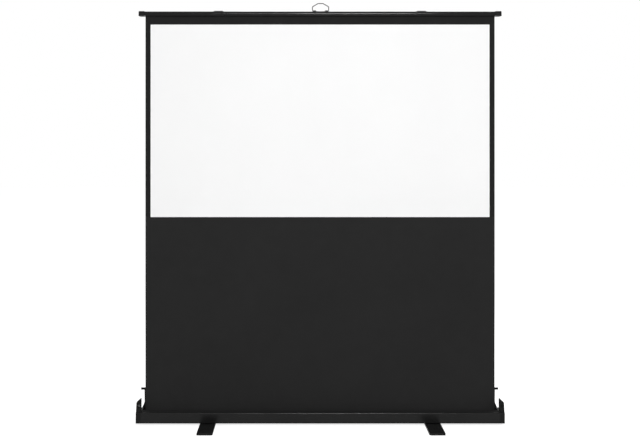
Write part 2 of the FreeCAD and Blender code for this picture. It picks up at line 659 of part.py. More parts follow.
def make_top_bar():
    """An extrusion with a closed chamber for the hem in front and an open channel behind it."""
    wall = "bar_wall"
    slot_front, slot_back = "0 - cloth_plane - bar_slot / 2", "bar_slot / 2 - cloth_plane"
    inner_front, chamber_back = "bar_wall - bar_front", "bar_wall - bar_front + bar_chamber"
    under, floor, roof = "bar_under", "bar_under + bar_wall", "bar_top - bar_wall"
    rear_edge = "bar_under + bar_rear_lift"
    back = "bar_depth - bar_front"
    groove = "bar_under + bar_groove_height"
    body = extrusion("top_bar", "bar_half", [
        ("0 - bar_front", under), (slot_front, under), (slot_front, floor), (inner_front, floor),
        (inner_front, roof, "bar_nose - bar_wall"), (chamber_back, roof), (chamber_back, floor),
        (slot_back, floor), (slot_back, under), (chamber_back + " + " + wall, under),
        (chamber_back + " + " + wall, roof), (back + " - bar_wall", roof),
        (back + " - bar_wall", rear_edge), (back, rear_edge), (back, "bar_top", "bar_rear_radius"),
        ("0 - bar_front", "bar_top", "bar_nose"), ("0 - bar_front", groove + " + bar_groove"),
        ("bar_groove_depth - bar_front", groove + " + bar_groove"),
        ("bar_groove_depth - bar_front", groove), ("0 - bar_front", groove),
    ])
    for x, near in (("0 - fixed_pivot", "base_wheel"), ("fixed_pivot", "top_web - tongue_thickness")):
        gap = sketch_on(body, "XY_Plane", "bar_top")
        left, right = x + " - tongue_width / 2 - fit_gap", x + " + tongue_width / 2 + fit_gap"
        far = near + " + tongue_thickness + fit_gap"
        draw(gap, [(left, near + " - fit_gap"), (right, near + " - fit_gap"), (right, far), (left, far)])
        pocket(body, gap, "bar_wall")


def make_bar_caps():
    """Moulded sleeves over the ends of the top bar, open below."""
    body = new_body("bar_cap_right")
    front, back = "0 - bar_front", "bar_depth - bar_front"
    low, crown = "bar_under - bar_cap_drop", "bar_top + bar_cap_skin"
    outline = sketch_on(body, "YZ_Plane", "bar_cap_inner")
    draw(outline, [(front + " - bar_cap_skin", low),
                   (back + " + bar_cap_skin", low + " + bar_rear_lift"),
                   (back + " + bar_cap_skin", crown, "bar_rear_radius + bar_cap_skin"),
                   (front + " - bar_cap_skin", crown, "bar_nose + bar_cap_skin")])
    pad(body, outline, "bar_cap_length")
    inside = sketch_on(body, "YZ_Plane", "bar_cap_inner")
    draw(inside, [(front + " - fit_gap", low + " - overrun"), (back + " + fit_gap", low + " - overrun"),
                  (back + " + fit_gap", "bar_top + fit_gap", "bar_rear_radius"),
                  (front + " - fit_gap", "bar_top + fit_gap", "bar_nose")])
    pocket(body, inside, "bar_cap_length - bar_cap_wall", back=True)
    mirrored("bar_cap_left", body)


def add_saddle(body):
    """The low plate on top of the bar that a bracket hangs from, with bevelled ends."""
    half = "bracket_width / 2"
    saddle = sketch_on(body, "XZ_Plane", "saddle_front")
    high = "bar_top + bracket_height"
    draw(saddle, [("0 - " + half, "bar_top"), (half, "bar_top"), (half + " - bracket_chamfer", high),
                  ("bracket_chamfer - " + half, high)])
    pad(body, saddle, "saddle_depth", back=True)


def add_tongue(body, near, low, high, round_low):
    """An upright plate, rounded at the end that carries a pivot."""
    half = "tongue_width / 2"
    tongue = sketch_on(body, "XZ_Plane", "0 - (%s)" % near)
    low_radius, high_radius = ("tongue_round",) * round_low, ("tongue_round",) * (not round_low)
    draw(tongue, [("0 - " + half, low) + low_radius, (half, low) + low_radius,
                  (half, high) + high_radius, ("0 - " + half, high) + high_radius])
    pad(body, tongue, "tongue_thickness", back=True)


def make_brackets():
    """The fixed pivots at the left, the hanger of the top track and their plates."""
    base = new_body("base_pivot_bracket", x="0 - fixed_pivot")
    near = "front_arm - lane_gap - tongue_thickness"
    add_tongue(base, near, "case_floor", "low_pivot + tongue_drop", round_low=False)
    foot = sketch_on(base, "XY_Plane", "case_floor")
    half = "base_plate_width / 2"
    draw(foot, [("0 - " + half, "partition_back + fit_gap"), (half, "partition_back + fit_gap"),
                (half, near + " + tongue_thickness"), ("0 - " + half, near + " + tongue_thickness")])
    pad(base, foot, "base_plate_lift")
    for face, radius, length in (
            (near, "pin_radius", "front_arm_back + fit_gap - (%s)" % near),
            ("front_arm_back + fit_gap", "end_head", "layer_gap - 3 * fit_gap")):
        stud = sketch_on(base, "XZ_Plane", "0 - (%s)" % face)
        circle(stud, "0", "low_pivot", radius)
        pad(base, stud, length, back=True)
    top = new_body("top_pivot_bracket", x="0 - fixed_pivot")
    add_saddle(top)
    add_tongue(top, "base_wheel", "high_pivot - tongue_drop", "bar_top", round_low=True)
    for face, radius, length in (
            ("base_wheel + tongue_thickness", "pin_radius",
             "base_wheel + tongue_thickness - rear_arm + fit_gap"),
            ("rear_arm - fit_gap", "end_head", "layer_gap - 3 * fit_gap")):
        stud = sketch_on(top, "XZ_Plane", "0 - (%s)" % face)
        circle(stud, "0", "high_pivot", radius)
        pad(top, stud, length)
    hanger = new_body("track_hanger", x="fixed_pivot")
    add_saddle(hanger)
    add_tongue(hanger, "top_web - tongue_thickness", "bar_under", "bar_top", round_low=True)


def make_cloth():
    """The cloth as one sheet, straight up from the roller, with its hem sleeve round a rod."""
    cloth = new_body("screen_cloth")
    sheet_outline = sketch_on(cloth, "YZ_Plane")
    front = "0 - cloth_plane - cloth_thickness / 2"
    back = "cloth_thickness / 2 - cloth_plane"
    top = "hem_height - hem_radius + cloth_thickness"
    draw(sheet_outline, [(front, "roller_z"), (back, "roller_z"), (back, top), (front, top)])
    pad(cloth, sheet_outline, "2 * (cloth_half)", middle=True)
    sleeve = sketch_on(cloth, "YZ_Plane")
    circle(sleeve, "0 - cloth_plane", "hem_height", "hem_radius")
    circle(sleeve, "0 - cloth_plane", "hem_height", "hem_radius - cloth_thickness")
    pad(cloth, sleeve, "2 * (cloth_half)", middle=True)
    turned("hem_rod", [("rod_radius", "0 - (cloth_half) - rod_overhang", "cloth_half + rod_overhang")],
           along="X", y="0 - cloth_plane", z="hem_height")


def make_pull_loop():
    """The wire loop that lifts the bar, the two lugs that it pivots in and the strip between them."""
    loop = new_body("pull_loop", x="loop_x", z="loop_pivot")
    path = sketch_on(loop, "XZ_Plane")
    draw(path, [("0 - loop_end", "0"), ("0 - loop_half", "0", "loop_bend"),
                ("0 - loop_half", "loop_leg", "loop_bend"), ("0 - loop_flat", "loop_rise", "loop_bend"),
                ("loop_flat", "loop_rise", "loop_bend"), ("loop_half", "loop_leg", "loop_bend"),
                ("loop_half", "0", "loop_bend"), ("loop_end", "0")], closed=False)
    wire = sketch_on(loop, "YZ_Plane", "0 - loop_end")
    circle(wire, "0", "0", "loop_wire")
    pipe = loop.newObject("PartDesign::AdditivePipe", "pull_loop_pipe")
    pipe.Profile = wire
    pipe.Spine = path
    doc.recompute()
    for side, offset, back in (("right", "lug_near", False), ("left", "0 - lug_near", True)):
        lug = new_body("loop_lug_" + side, x="loop_x", z="bar_top")
        outline = sketch_on(lug, "YZ_Plane", offset)
        draw(outline, [("0 - lug_depth / 2", "0"), ("lug_depth / 2", "0"),
                       ("lug_depth / 2", "lug_height", "lug_round"),
                       ("0 - lug_depth / 2", "lug_height", "lug_round")])
        circle(outline, "0", "loop_lift", "loop_wire + fit_gap")
        pad(lug, outline, "lug_width", back=back)
    bridge = new_body("loop_bridge", x="loop_x", z="bar_top")
    outline = sketch_on(bridge, "YZ_Plane")
    draw(outline, [("0 - lug_depth / 2", "0"), ("lug_depth / 2", "0"),
                   ("lug_depth / 2", "bridge_height"), ("0 - lug_depth / 2", "bridge_height")])
    pad(bridge, outline, "2 * lug_near", middle=True)


def make_lid():
    """The case's lid, a shallow channel standing open behind the scissor, with its end caps."""
    inner = "lid_radius - lid_wall"
    extrusion("lid_panel", "lid_panel_half", [
        ("lid_front", "lid_top"), ("lid_front", "lid_top - lid_return"),
        ("lid_front + lid_wall", "lid_top - lid_return"), ("lid_front + lid_wall", "lid_top - lid_wall"),
        ("lid_back - lid_wall", "lid_top - lid_wall", inner), ("lid_back - lid_wall", "hinge_z", inner),
        ("hinge_y + lid_base", "hinge_z"), ("hinge_y + lid_base", "lid_foot"),
        ("lid_back", "lid_foot", "lid_radius"), ("lid_back", "lid_top", "lid_radius"),
    ])
    cap = new_body("lid_cap_right")
    flare = "lid_half + lid_flare"
    outline = sketch_on(cap, "XZ_Plane", "0 - (lid_front)")
    draw(outline, [("lid_panel_half", "lid_foot"), (flare, "lid_foot", "lid_return"),
                   (flare, "hinge_z + lid_flare_height", "flare_radius"),
                   ("lid_half", "hinge_z + lid_flare_top", "waist_radius"),
                   ("lid_half + lid_crown", "lid_top", "lid_return"), ("lid_panel_half", "lid_top")])
    pad(cap, outline, "lid_skirt", back=True)
    hollow = sketch_on(cap, "YZ_Plane", "lid_panel_half")
    near, far = "lid_front + lid_cap_skin", "lid_back - lid_cap_skin"
    low, high = "hinge_z + lid_cap_skin", "lid_top - lid_cap_skin"
    draw(hollow, [(near, low), (far, low), (far, high), (near, high)])
    pocket(cap, hollow, "lid_cap_width - lid_cap_skin", back=True)
    eye = sketch_on(cap, "YZ_Plane", flare + " - joint_gap - eye_width")
    slot(eye, "hinge_y", "lid_front + eye_radius", "hinge_z", "eye_radius")
    pad(cap, eye, "eye_width")
    hole = sketch_on(cap, "YZ_Plane", flare)
    circle(hole, "hinge_y", "hinge_z", "hinge_pin + fit_gap")
    pocket(cap, hole, "eye_width + overrun")
    peg = sketch_on(cap, "YZ_Plane", "lid_half - lid_cap_skin")
    circle(peg, "peg_y", "peg_z", "peg_radius")
    pad(cap, peg, "lid_cap_skin + peg_reach")
    mirrored("lid_cap_left", cap)
    pin = turned("lid_hinge_pin_right", [
        ("hinge_pin", flare + " - joint_gap - eye_width", "cap_half - cap_skin - fit_gap"),
    ], along="X", y="hinge_y", z="hinge_z")
    mirrored("lid_hinge_pin_left", pin)


def finish():
    """See that every object is whole, then write each sub-part to its own file."""
    doc.recompute()
    for thing in doc.Objects:
        if "Invalid" in thing.State or "Error" in thing.State:
            raise RuntimeError(thing.Name + " failed: " + str(thing.State))
    for piece in pieces:
        if piece.Shape.isNull() or not piece.Shape.isValid():
            raise RuntimeError(piece.Label + " has no valid shape")
    os.makedirs("parts", exist_ok=True)
    for piece in pieces:
        piece.Shape.exportStep("parts/" + piece.Label + ".step")
        print(piece.Label, len(piece.Shape.Solids), round(piece.Shape.Volume))


make_case_shell()
make_end_caps()
make_end_cap_screws()
make_roller()
make_foot()
make_foot_pads()
make_swivels()
make_scissor()
make_tracks()
make_top_bar()
make_bar_caps()
make_brackets()
make_cloth()
make_pull_loop()
make_lid()
finish()
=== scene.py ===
import bpy
import bmesh
import math
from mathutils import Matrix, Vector


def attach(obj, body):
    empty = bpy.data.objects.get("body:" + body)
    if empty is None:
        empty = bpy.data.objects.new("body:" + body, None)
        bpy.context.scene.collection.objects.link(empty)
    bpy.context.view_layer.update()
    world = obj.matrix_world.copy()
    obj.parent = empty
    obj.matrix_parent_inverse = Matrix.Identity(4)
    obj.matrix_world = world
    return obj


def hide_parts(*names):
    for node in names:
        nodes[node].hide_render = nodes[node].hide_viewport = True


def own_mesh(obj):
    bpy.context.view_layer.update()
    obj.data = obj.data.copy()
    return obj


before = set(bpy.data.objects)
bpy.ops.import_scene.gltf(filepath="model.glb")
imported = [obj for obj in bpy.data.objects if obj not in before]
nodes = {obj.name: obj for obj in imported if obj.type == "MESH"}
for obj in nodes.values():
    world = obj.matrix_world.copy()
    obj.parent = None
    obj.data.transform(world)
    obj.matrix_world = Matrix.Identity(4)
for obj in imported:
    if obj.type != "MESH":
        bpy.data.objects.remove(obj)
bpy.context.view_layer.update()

# The cloth's places and sizes in metres, as the CAD part has them.
CLOTH_Y = -0.011
CLOTH_THICKNESS = 0.0005
CLOTH_HALF = 0.925
IMAGE_HALF = 0.898
IMAGE_LOW, IMAGE_HIGH = 1.096, 2.116
ROLLER_Z = 0.041
BAR_UNDER = 2.161
HEM_Z, HEM_RADIUS = 2.1674, 0.00395
# Where the hem opens above the bar's underside, and how far its flap hangs below it.
HEM_MOUTH, HEM_FLAP = 0.0003, 0.012
# The flap's distance behind the cloth, in thicknesses of the cloth.
HEM_BEHIND = 1.04

# Slope of the scissor's arms at rest, in degrees from the X axis.
LEAN = 47.199


def both(name):
    """The names of a right and a left node."""
    return [name + "_right", name + "_left"]


PLASTIC_CAPS = (both("end_cap") + both("bar_cap") + both("lid_cap") + both("loop_lug")
                + ["loop_bridge"])
PIVOT_BRACKETS = ["base_pivot_bracket", "top_pivot_bracket", "track_hanger"]
FRONT_ARMS = ["arm_lower_front", "arm_upper_front"]
REAR_ARMS = ["arm_lower_rear", "arm_upper_rear"]
ARM_PINS = ["middle_pin_lower", "middle_pin_upper"] + both("knee_pin")


# Materials

# Edges rubbed bare are so many times as pale as the coat.
WORN = 2.2
# The upward share of a face's normal at which dust begins to lie, and at which it covers.
DUST_STARTS, DUST_COVERS = 0.94, 0.99
WEAVE_SCALE = 330.0


def rgb(tone):
    """A grey, or a colour, as four numbers."""
    return (tone, tone, tone, 1.0) if isinstance(tone, float) else (*tone, 1.0)


class Finish:
    """A node material built up from a principled shader and a few layers of fine detail."""

    def __init__(self, name, tone, rough, metal=0.0, specular=0.5, turn=0.0):
        self.material = bpy.data.materials.new(name)
        self.material.use_nodes = True
        self.tree = self.material.node_tree
        self.shader = self.tree.nodes["Principled BSDF"]
        self.tone, self.turn = tone, turn
        self.relief = None
        self.shader.inputs["Base Color"].default_value = rgb(tone)
        self.shader.inputs["Roughness"].default_value = rough
        self.shader.inputs["Metallic"].default_value = metal
        self.shader.inputs["Specular IOR Level"].default_value = specular
        source = self.node("ShaderNodeTexCoord")
        self.coord, self.facing = source.outputs["Object"], source.outputs["Normal"]

    def node(self, kind, **values):
        """A new node with some of its settings."""
        made = self.tree.nodes.new(kind)
        for key, value in values.items():
            setattr(made, key, value)
        return made

    def link(self, output, target):
        self.tree.links.new(output, target)

    def noise(self, scale, detail=3.0, roughness=0.55, stretch=(1, 1, 1)):
        """Noise with so many features to the metre. A stretch below 1 draws it out that way."""
        turned = self.node("ShaderNodeMapping")
        turned.inputs["Rotation"].default_value = (0, math.radians(self.turn), 0)
        scaled = self.node("ShaderNodeMapping")
        scaled.inputs["Scale"].default_value = [scale * s for s in stretch]
        field = self.node("ShaderNodeTexNoise")
        field.inputs["Scale"].default_value = 1.0
        field.inputs["Detail"].default_value = detail
        field.inputs["Roughness"].default_value = roughness
        self.link(self.coord, turned.inputs["Vector"])
        self.link(turned.outputs["Vector"], scaled.inputs["Vector"])
        self.link(scaled.outputs["Vector"], field.inputs["Vector"])
        return field.outputs["Fac"]

    def span(self, field, low, high, start=0.3, stop=0.7):
        """A field read as a number between low and high."""
        reach = self.node("ShaderNodeMapRange")
        ends = {"From Min": start, "From Max": stop, "To Min": low, "To Max": high}
        for key, value in ends.items():
            reach.inputs[key].default_value = value
        self.link(field, reach.inputs["Value"])
        return reach.outputs["Result"]

    def blotch(self, field, other, start=0.3, stop=0.7):
        """The base colour drifts towards another tone where the field is high."""
        mix = self.node("ShaderNodeMix", data_type="RGBA")
        colour = self.shader.inputs["Base Color"]
        if colour.links:
            self.link(colour.links[0].from_socket, mix.inputs["A"])
        else:
            mix.inputs["A"].default_value = rgb(self.tone)
        mix.inputs["B"].default_value = rgb(other)
        self.link(self.span(field, 0.0, 1.0, start, stop), mix.inputs["Factor"])
        self.link(mix.outputs["Result"], colour)
        return self

    def gloss(self, field, low, high):
        """Roughness that varies between two values."""
        self.link(self.span(field, low, high), self.shader.inputs["Roughness"])
        return self

    def bump(self, field, depth):
        """Relief of so many metres, added on top of what is there."""
        bump = self.node("ShaderNodeBump")
        bump.inputs["Strength"].default_value = 1.0
        bump.inputs["Distance"].default_value = depth
        self.link(field, bump.inputs["Height"])
        if self.relief:
            self.link(self.relief, bump.inputs["Normal"])
        self.relief = bump.outputs["Normal"]
        self.link(self.relief, self.shader.inputs["Normal"])
        return self

    def dusted(self, other):
        """Faces that look up carry a breath of dust: a little paler, and matt."""
        axes = self.node("ShaderNodeSeparateXYZ")
        self.link(self.facing, axes.inputs["Vector"])
        up = axes.outputs["Z"]
        matt = self.node("ShaderNodeMath", operation="MAXIMUM")
        rough = self.shader.inputs["Roughness"]
        self.link(rough.links[0].from_socket, matt.inputs[0])
        self.link(self.span(up, 0.0, 1.0, DUST_STARTS, DUST_COVERS), matt.inputs[1])
        self.link(matt.outputs["Value"], rough)
        return self.blotch(up, other, DUST_STARTS, DUST_COVERS)

    def worn(self):
        """Edges rubbed paler, in patches."""
        edge = self.node("ShaderNodeNewGeometry").outputs["Pointiness"]
        patch = self.noise(90.0, 4.0)
        rubbed = self.node("ShaderNodeMath", operation="MULTIPLY")
        self.link(self.span(edge, 0.0, 1.0, 0.56, 0.68), rubbed.inputs[0])
        self.link(self.span(patch, 0.0, 1.0, 0.45, 0.75), rubbed.inputs[1])
        return self.blotch(rubbed.outputs["Value"], self.tone * WORN, 0.2, 1.0)


def powder_coat(name, tone, rough, specular, turn=0.0, along=(0.02, 1, 1), peel=1.0, dust=None):
    """Satin black coat on an extrusion: fine orange peel over faint die lines."""
    f = Finish(name, tone, rough, specular=specular, turn=turn)
    f.blotch(f.noise(7.0, 5.0), tone * 1.35)
    f.gloss(f.noise(35.0, 4.0), rough - 0.02, rough + 0.03)
    if dust:
        f.dusted(dust)
    f.bump(f.noise(900.0, 2.0, stretch=along), 0.000004 * peel)
    f.bump(f.noise(1400.0, 3.0), 0.000006 * peel)
    return f.worn().material


def moulded(name, tone, rough, specular):
    """Moulded plastic with a fine spark texture."""
    f = Finish(name, tone, rough, specular=specular)
    f.blotch(f.noise(25.0, 4.0), tone * 1.3)
    f.gloss(f.noise(140.0, 3.0), rough - 0.04, rough + 0.06)
    f.bump(f.noise(2600.0, 3.0, 0.7), 0.000018)
    return f.worn().material


def steel(name, tone, rough):
    """Plated steel: faint spangle, small scratches and patches of handling."""
    f = Finish(name, tone, rough, metal=1.0)
    f.blotch(f.noise(60.0, 5.0), tone * 0.72)
    f.gloss(f.noise(220.0, 4.0), rough - 0.07, rough + 0.1)
    return f.bump(f.noise(1800.0, 3.0), 0.000008).material


def vinyl(name, tone, rough, specular, drift):
    """Coated screen cloth with a fine woven emboss."""
    f = Finish(name, tone, rough, specular=specular)
    f.blotch(f.noise(2.2, 3.0), drift)
    f.gloss(f.noise(18.0, 3.0), rough - 0.04, rough + 0.04)
    warp = f.node("ShaderNodeTexWave", wave_type="BANDS", bands_direction="X", wave_profile="SIN")
    weft = f.node("ShaderNodeTexWave", wave_type="BANDS", bands_direction="Z", wave_profile="SIN")
    weave = f.node("ShaderNodeMath", operation="ADD")
    for thread, entry in ((warp, 0), (weft, 1)):
        thread.inputs["Scale"].default_value = WEAVE_SCALE
        thread.inputs["Distortion"].default_value = 0.6
        f.link(f.coord, thread.inputs["Vector"])
        f.link(thread.outputs["Fac"], weave.inputs[entry])
    f.bump(weave.outputs["Value"], 0.000012)
    f.bump(f.noise(700.0, 2.0), 0.00001)
    f.shader.inputs["Sheen Weight"].default_value = 0.02
    return f.material


def rubber(name):
    """Dull rubber with a coarse skin."""
    f = Finish(name, 0.012, 0.75, specular=0.25)
    f.blotch(f.noise(40.0, 5.0), 0.022)
    f.gloss(f.noise(90.0), 0.68, 0.84)
    return f.bump(f.noise(1500.0, 3.0), 0.00003).material


def nylon(name):
    """Cream nylon that lets a little light in."""
    f = Finish(name, (0.76, 0.75, 0.71), 0.42, specular=0.4)
    f.blotch(f.noise(120.0, 4.0), (0.66, 0.64, 0.59))
    f.shader.inputs["Subsurface Weight"].default_value = 0.12
    f.shader.inputs["Subsurface Radius"].default_value = (0.004, 0.004, 0.003)
    return f.bump(f.noise(1100.0, 3.0), 0.00001).material


def mill_aluminium(name):
    """Bare extruded aluminium, with its die lines along X."""
    f = Finish(name, 0.62, 0.34, metal=1.0)
    f.blotch(f.noise(20.0, 5.0, stretch=(0.1, 1, 1)), 0.48)
    f.gloss(f.noise(300.0, 4.0, stretch=(0.02, 1, 1)), 0.27, 0.44)
    return f.bump(f.noise(1600.0, 3.0, stretch=(0.01, 1, 1)), 0.00001).material


case_paint = powder_coat("case_powder_coat", 0.0050, 0.20, 0.16, peel=0.4, dust=0.009)
bar_paint = powder_coat("bar_powder_coat", 0.0035, 0.12, 0.17, peel=0.2)
lid_paint = powder_coat("lid_powder_coat", 0.0065, 0.28, 0.16)
foot_paint = powder_coat("foot_powder_coat", 0.0070, 0.42, 0.12, along=(1, 0.02, 1))
bracket_paint = powder_coat("bracket_paint", 0.0085, 0.38, 0.2, along=(1, 1, 1))
arm_rising_right = powder_coat("arm_anodised_rising_right", 0.012, 0.3, 0.3, turn=LEAN)
arm_rising_left = powder_coat("arm_anodised_rising_left", 0.012, 0.3, 0.3, turn=-LEAN)
cap_plastic = moulded("cap_moulding", 0.0045, 0.52, 0.10)
plug_plastic = moulded("plug_moulding", 0.02, 0.45, 0.3)
rod_plastic = moulded("rod_extrusion", 0.2, 0.4, 0.4)
zinc = steel("zinc_plate", 0.58, 0.3)
pin_zinc = steel("pin_zinc_plate", 0.52, 0.27)
black_steel = steel("blackened_steel", 0.06, 0.34)
wire_nickel = steel("wire_black_nickel", 0.05, 0.36)
pad_rubber = rubber("pad_rubber")
wheel_nylon = nylon("wheel_nylon")
track_metal = mill_aluminium("mill_aluminium")
cloth_white = vinyl("cloth_white", 0.90, 0.85, 0.15, 0.885)
cloth_black = vinyl("cloth_black", 0.0145, 0.76, 0.09, 0.0165)
cloth_border = vinyl("cloth_border", 0.0103, 0.76, 0.09, 0.0115)
cloth_back = vinyl("cloth_backing", 0.0125, 0.80, 0.10, 0.015)

DRESS = [
    (case_paint, ["case_shell"]),
    (bar_paint, ["top_bar"]),
    (lid_paint, ["lid_panel"]),
    (foot_paint, both("foot")),
    (bracket_paint, PIVOT_BRACKETS),
    (arm_rising_right, FRONT_ARMS),
    (arm_rising_left, REAR_ARMS),
    (cap_plastic, PLASTIC_CAPS),
    (plug_plastic, both("roller_plug")),
    (rod_plastic, ["hem_rod"]),
    (zinc, ["roller_tube"] + both("spindle_bracket") + both("swivel_plate")),
    (pin_zinc, ARM_PINS + ["base_roller_pin", "top_roller_pin"] + both("lid_hinge_pin")),
    (wire_nickel, ["pull_loop"]),
    (pad_rubber, [name for name in nodes if name.startswith("foot_pad_")]),
    (wheel_nylon, ["base_roller", "top_roller"]),
    (track_metal, ["base_track", "top_track"]),
]
for paint, names in DRESS:
    for name in names:
        nodes[name].data.materials.clear()
        nodes[name].data.materials.append(paint)


# Edges of the rigid pieces, broken as the real ones are

# Points no further apart than this, in metres, are one: in a CAD mesh, and in a rounded one.
SAME_POINT, SAME_ROUNDED_POINT = 0.000002, 0.000003
# Degrees up to which triangles are one flat face, and from which an edge is rounded.
FLAT_ANGLE, EDGE_ANGLE = 0.5, 32


def soften(name, width, segments):
    """Join the triangles of a CAD node into its real faces and round the edges a little."""
    piece = nodes[name]
    mesh = bmesh.new()
    mesh.from_mesh(piece.data)
    for edge in mesh.edges:
        edge.smooth = not edge.is_boundary
    mesh.to_mesh(piece.data)
    mesh.free()
    for attribute in [a for a in piece.data.attributes if a.name == "custom_normal"]:
        piece.data.attributes.remove(attribute)
    weld = piece.modifiers.new("weld", "WELD")
    weld.merge_threshold = SAME_POINT
    flat = piece.modifiers.new("flat", "DECIMATE")
    flat.decimate_type = "DISSOLVE"
    flat.angle_limit = math.radians(FLAT_ANGLE)
    flat.delimit = {"SHARP"}
    edge = piece.modifiers.new("edges", "BEVEL")
    edge.width = width
    edge.segments = segments
    edge.limit_method = "ANGLE"
    edge.angle_limit = math.radians(EDGE_ANGLE)
    edge.harden_normals = True
    close = piece.modifiers.new("close", "WELD")
    close.merge_threshold = SAME_ROUNDED_POINT


# Width of the rounded edge in metres, its segments, and the nodes that have it.
EDGES = [
    (0.0010, 3, both("foot")),
    (0.0005, 2, PLASTIC_CAPS),
    (0.00025, 2, ["case_shell", "top_bar", "lid_panel", "base_track", "top_track"]),
    (0.0004, 2, FRONT_ARMS + REAR_ARMS + PIVOT_BRACKETS + both("swivel_plate")),
    (0.0008, 3, ARM_PINS),
]
for width, segments, names in EDGES:
    for name in names:
        soften(name, width, segments)


# New pieces

def add_object(name, data):
    """A new object in the scene."""
    made = bpy.data.objects.new(name, data)
    bpy.context.scene.collection.objects.link(made)
    return made


def add_piece(name, mesh, sharp_angle, paints):
    """An object from a bmesh, smooth but for the edges that turn by more than so many degrees."""
    bmesh.ops.recalc_face_normals(mesh, faces=mesh.faces)
    data = bpy.data.meshes.new(name)
    mesh.to_mesh(data)
    mesh.free()
    for face in data.polygons:
        face.use_smooth = True
    data.set_sharp_from_angle(angle=math.radians(sharp_angle))
    for paint in paints:
        data.materials.append(paint)
    return add_object(name, data)


# Screws with a cross recess, in the places of the plain ones

# Depth of the head and radius of the shank of each kind of screw, in metres.
SCREWS = {"end_cap_screws": (0.0022, 0.0017), "swivel_screw": (0.0017, 0.003)}
SCREW_SIDES = 32
# The turned head, as shares of its radius and of its depth.
HEAD = [(0.80, 0), (0.94, 0.12), (1, 0.35), (1, 1)]
# The point: where it starts, as a share of the length, and its width, as a share of the shank.
POINT_START, POINT_WIDTH = 0.92, 0.4
# The cross's arm and half width at its mouth and at its foot, as shares of the head's radius,
# and its depth, as a share of the head's.
CROSS_MOUTH, CROSS_FOOT = (0.55, 0.13), (0.42, 0.09)
CROSS_DEPTH = 0.6


def solids_of(name):
    """The lowest and the highest corner of each separate solid of a CAD node."""
    piece = nodes[name]
    mesh = bmesh.new()
    mesh.from_mesh(piece.data)
    mesh.transform(piece.matrix_world)
    bmesh.ops.remove_doubles(mesh, verts=mesh.verts, dist=SAME_POINT)
    waiting, found = set(mesh.verts), []
    while waiting:
        group, fresh = set(), [min(waiting, key=lambda v: v.index)]
        while fresh:
            vert = fresh.pop()
            if vert not in group:
                group.add(vert)
                fresh += [e.other_vert(vert) for e in vert.link_edges]
        waiting -= group
        found.append([[pick(v.co[i] for v in group) for i in range(3)] for pick in (min, max)])
    mesh.free()
    return sorted(found)


def add_screw(mesh, head, out, radius, depth, shank, length):
    """A screw whose head's face lies at the given place and looks out, with a cross cut in it."""
    turn = Vector((0, 0, 1)).rotation_difference(Vector(out)).to_matrix()

    def corner(x, y, z):
        return mesh.verts.new(Vector(head) + turn @ Vector((x, y, z)))

    def ring(wide, z):
        angles = [2 * math.pi * i / SCREW_SIDES for i in range(SCREW_SIDES)]
        return [corner(wide * math.cos(a), wide * math.sin(a), z) for a in angles]

    def wall(one, other):
        for i in range(len(one)):
            j = (i + 1) % len(one)
            mesh.faces.new((one[i], one[j], other[j], other[i]))

    def cross(share, z):
        arm, half = (radius * s for s in share)
        quarter = [(arm, -half), (arm, half), (half, half)]
        shape = []
        for _ in range(4):
            shape += quarter
            quarter = [(-y, x) for x, y in quarter]
        return [corner(x, y, z) for x, y in shape]

    rings = [ring(radius * wide, -depth * down) for wide, down in HEAD]
    rings += [ring(shank, -depth), ring(shank, -length * POINT_START),
              ring(shank * POINT_WIDTH, -length)]
    for one, other in zip(rings, rings[1:]):
        wall(one, other)
    mesh.faces.new(rings[-1])
    mouth = cross(CROSS_MOUTH, 0)
    foot = cross(CROSS_FOOT, -depth * CROSS_DEPTH)
    wall(mouth, foot)
    mesh.faces.new(foot)
    loops = [mesh.edges.get((loop[i - 1], loop[i])) or mesh.edges.new((loop[i - 1], loop[i]))
             for loop in (rings[0], mouth) for i in range(len(loop))]
    bmesh.ops.triangle_fill(mesh, use_beauty=True, edges=loops)


def screws(name, body, out):
    """All the screws of one CAD node, each one made from the reach of its own solid."""
    mesh = bmesh.new()
    axis = max(range(3), key=lambda i: abs(out[i]))
    across = (axis + 1) % 3
    for low, high in solids_of(name):
        head = [(a + b) / 2 for a, b in zip(low, high)]
        head[axis] = (high if out[axis] > 0 else low)[axis]
        radius = (high[across] - low[across]) / 2
        depth, shank = SCREWS[name.rsplit("_", 1)[0]]
        add_screw(mesh, head, out, radius, depth, shank, high[axis] - low[axis])
    piece = add_piece("cross_" + name, mesh, sharp_angle=35, paints=[black_steel])
    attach(piece, body)
    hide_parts(name)


screws("end_cap_screws_right", "root", (1, 0, 0))
screws("end_cap_screws_left", "root", (-1, 0, 0))
for name in both("swivel_screw"):
    screws(name, "root", (0, 0, -1))


# The screen cloth

# The cloth's materials, and the number by which a face calls for each.
CLOTH_PAINTS = [cloth_white, cloth_black, cloth_back, cloth_border]
WHITE, BLACK, BACK, BORDER = range(4)


def steps(low, high, count):
    """Evenly spaced values from low to high."""
    return [low + (high - low) * i / count for i in range(count + 1)]


def cloth_across():
    """Places along X, with a column's edge where the picture ends."""
    inside = steps(-IMAGE_HALF, IMAGE_HALF, 60)
    edge = (CLOTH_HALF - IMAGE_HALF) / 3
    return ([-CLOTH_HALF + edge * i for i in range(3)] + inside
            + [IMAGE_HALF + edge * (i + 1) for i in range(3)])


def cloth_up():
    """Places along Z, with a row's edge where the picture begins and ends."""
    return (steps(ROLLER_Z, IMAGE_LOW, 40)[:-1] + steps(IMAGE_LOW, IMAGE_HIGH, 40)[:-1]
            + steps(IMAGE_HIGH, BAR_UNDER, 4))


